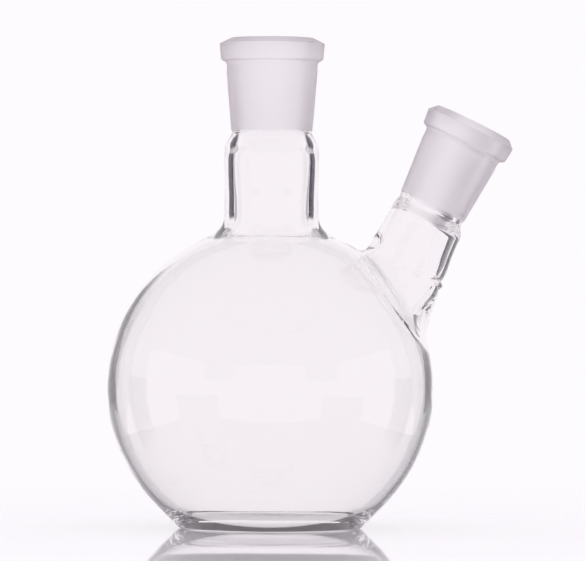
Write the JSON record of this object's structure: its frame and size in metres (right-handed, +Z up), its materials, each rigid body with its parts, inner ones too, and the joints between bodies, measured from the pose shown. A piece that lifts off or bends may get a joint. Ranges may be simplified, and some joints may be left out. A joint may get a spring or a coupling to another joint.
{
  "type": "two-neck boiling flask",
  "caption": "Blown glass boiling flask with a round body pressed flat underneath, an upright centre neck and a slanted side neck, each ending in a ground taper socket with a thick rim.",
  "frame": {"origin": "centre of the resting ring under the bulb, on the axis of the bulb and the centre neck", "axes": "+Z up along the centre neck, +X towards the side neck, +Y across the plane that holds both necks"},
  "size_m": [0.13, 0.105, 0.1574],
  "materials": {
    "clear_glass": "clear, fire-polished borosilicate glass",
    "ground_glass": "clear outside, ground to a fine frost on the inner taper"
  },
  "bodies": {
    "root": {"bulb": "clear_glass", "centre_neck": "clear_glass", "centre_seal": "clear_glass", "centre_socket": "ground_glass", "side_weld": "clear_glass", "side_neck": "clear_glass", "side_seal": "clear_glass", "side_socket": "ground_glass"}
  },
  "joints": []
}
